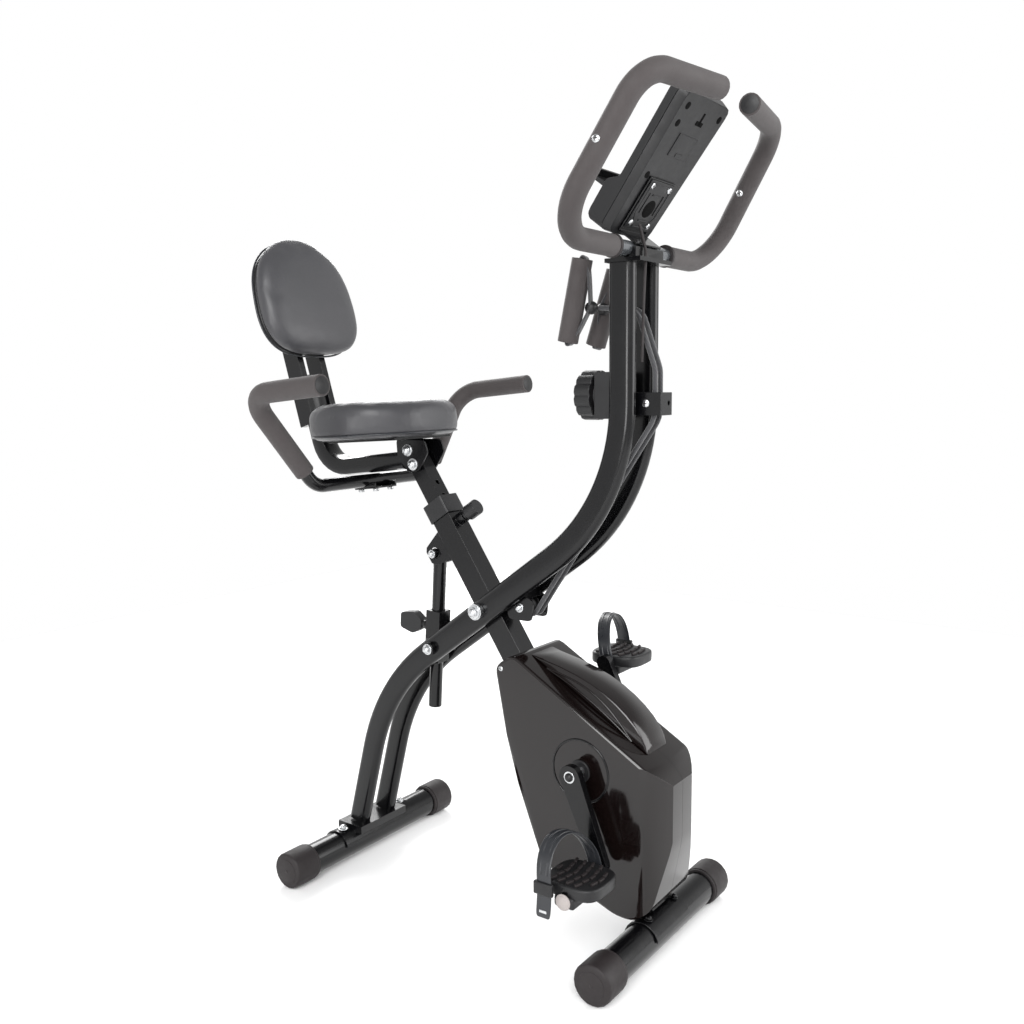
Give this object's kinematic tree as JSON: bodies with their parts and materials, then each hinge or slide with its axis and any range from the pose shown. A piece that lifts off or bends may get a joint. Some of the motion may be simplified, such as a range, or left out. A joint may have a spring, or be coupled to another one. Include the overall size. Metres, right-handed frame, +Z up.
{
  "type": "exercise bike",
  "caption": "Folding upright exercise bike with a padded seat and backrest, curved hand grips, side handles, pull ropes and an enclosed flywheel drive.",
  "frame": {"origin": "middle of the bike's bounding box on the floor", "axes": "+X the way the rider faces, +Y the rider's left, +Z up"},
  "size_m": [0.8744, 0.544, 1.2145],
  "materials": {
    "frame_paint": "gloss black paint",
    "moulded_plastic": "fine grain black",
    "gloss_shell": "gloss black",
    "foam": "matte foam",
    "pad_cover": "dark grey coated cover",
    "zinc": "bright zinc",
    "cast_iron": "as cast, turned rim",
    "rubber": "matte black",
    "screen_glass": "dark display window"
  },
  "bodies": {
    "rear_frame": {"rear_stabiliser_tube": "frame_paint", "rear_end_cap_right": "rubber", "rear_end_cap_left": "rubber", "rear_saddle_bracket": "frame_paint", "upright_right": "frame_paint", "upright_left": "frame_paint", "main_pivot_bolt": "zinc", "handlebar_tube": "frame_paint", "handlebar_grip_right": "foam", "handlebar_grip_left": "foam", "handlebar_clamp": "frame_paint", "console_bracket": "frame_paint", "console_back_shell": "moulded_plastic", "console_bezel": "gloss_shell", "console_screen": "screen_glass", "tablet_rest": "moulded_plastic", "console_cable": "rubber", "tension_knob_base": "moulded_plastic", "tension_cable": "rubber", "rope_bracket": "frame_paint", "exercise_rope_right": "rubber", "exercise_rope_left": "rubber", "lower_pulley_bracket": "frame_paint"},
    "console_button_cap": {"console_button": "moulded_plastic"},
    "knob": {"tension_knob": "moulded_plastic"},
    "handle_right": {"rope_handle_right": "foam"},
    "handle_left": {"rope_handle_left": "foam"},
    "lower_pulley": {"rope_pulley": "moulded_plastic"},
    "sleeve": {"strut_sleeve": "frame_paint"},
    "sleeve_pin": {"strut_pin_knob": "moulded_plastic"},
    "rod": {"strut_rod": "frame_paint"},
    "front_frame": {"main_frame_tube": "frame_paint", "front_stabiliser_tube": "frame_paint", "front_end_cap_right": "rubber", "front_end_cap_left": "rubber", "housing_right": "gloss_shell", "housing_left": "gloss_shell", "housing_fin": "gloss_shell", "post_collar": "moulded_plastic", "drive_belt": "rubber"},
    "crank": {"crank_axle": "zinc", "crank_arm_right": "frame_paint", "crank_arm_left": "frame_paint"},
    "right_pedal": {"pedal_right": "moulded_plastic"},
    "left_pedal": {"pedal_left": "moulded_plastic"},
    "flywheel": {"flywheel": "cast_iron", "flywheel_axle": "zinc"},
    "magnet": {"magnet_arm": "zinc"},
    "seat_pin": {"post_pin_knob": "moulded_plastic"},
    "seat": {"seat_post": "frame_paint", "seat_bracket": "frame_paint", "seat_cushion": "pad_cover", "seat_frame_tube": "frame_paint", "side_handle_tube": "frame_paint", "side_grip_right": "foam", "side_grip_left": "foam", "backrest_post_right": "frame_paint", "backrest_post_left": "frame_paint", "backrest_shell": "moulded_plastic", "backrest_cushion": "pad_cover"}
  },
  "joints": [
    {"name": "fold", "type": "hinge", "parent": "rear_frame", "child": "front_frame", "pos_m": [0.025, 0, 0.478], "axis": [0, 1, 0], "range_deg": [0, 44]},
    {"name": "strut_swing", "type": "hinge", "parent": "rear_frame", "child": "sleeve", "pos_m": [-0.073, 0, 0.404], "axis": [0, 1, 0], "range_deg": [0, 21.6]},
    {"name": "strut_slide", "type": "slide", "parent": "sleeve", "child": "rod", "axis": [0.0659, 0, 0.9978], "range_m": [0, 0.0695]},
    {"name": "strut_pin", "type": "slide", "parent": "sleeve", "child": "sleeve_pin", "axis": [-0.9978, 0, 0.0659], "range_m": [0, 0.008], "stiffness_N_per_m": 800, "springref_m": -0.002},
    {"name": "seat_height", "type": "slide", "parent": "front_frame", "child": "seat", "axis": [-0.5538, 0, 0.8326], "range_m": [-0.035, 0.03]},
    {"name": "post_pin", "type": "slide", "parent": "front_frame", "child": "seat_pin", "axis": [0.8326, 0, 0.5538], "range_m": [0, 0.008], "stiffness_N_per_m": 800, "springref_m": -0.002},
    {"name": "flywheel_spin", "type": "hinge", "parent": "front_frame", "child": "flywheel", "pos_m": [0.264, 0, 0.178], "axis": [0, 1, 0], "continuous": true},
    {"name": "crank_spin", "type": "hinge", "parent": "front_frame", "child": "crank", "pos_m": [0.228, 0, 0.269], "axis": [0, 1, 0], "continuous": true},
    {"name": "pedal_right_spin", "type": "hinge", "parent": "crank", "child": "right_pedal", "pos_m": [0.278, -0.145, 0.149], "axis": [0, 1, 0], "continuous": true},
    {"name": "pedal_left_spin", "type": "hinge", "parent": "crank", "child": "left_pedal", "pos_m": [0.178, 0.145, 0.389], "axis": [0, 1, 0], "continuous": true},
    {"name": "tension", "type": "hinge", "parent": "rear_frame", "child": "knob", "pos_m": [0.229, 0, 0.814], "axis": [1, 0, 0], "range_deg": [0, 300]},
    {"name": "magnet_swing", "type": "hinge", "parent": "front_frame", "child": "magnet", "pos_m": [0.21722, 0.034, 0.24227], "axis": [0, 1, 0], "range_deg": [0, 6.2]},
    {"name": "lower_pulley_spin", "type": "hinge", "parent": "rear_frame", "child": "lower_pulley", "pos_m": [0.091, 0, 0.488], "axis": [0, 1, 0], "continuous": true},
    {"name": "button_press", "type": "slide", "parent": "rear_frame", "child": "console_button_cap", "axis": [0.7961, 0, -0.6052], "range_m": [0, 0.0015], "stiffness_N_per_m": 400, "springref_m": -0.001},
    {"name": "handle_pull_right", "type": "slide", "parent": "rear_frame", "child": "handle_right", "axis": [-0.9292, 0, 0.3697], "range_m": [0, 0.08], "stiffness_N_per_m": 120, "springref_m": -0.02},
    {"name": "handle_pull_left", "type": "slide", "parent": "rear_frame", "child": "handle_left", "axis": [-0.9292, 0, 0.3697], "range_m": [0, 0.08], "stiffness_N_per_m": 120, "springref_m": -0.02}
  ],
  "couplings": [
    {"joint": "strut_swing", "follows": "fold", "ratio": 0.48523},
    {"joint": "strut_slide", "follows": "fold", "m_per_rad": 0.090145},
    {"joint": "crank_spin", "follows": "flywheel_spin", "ratio": 0.22581},
    {"joint": "magnet_swing", "follows": "tension", "ratio": 0.02}
  ]
}
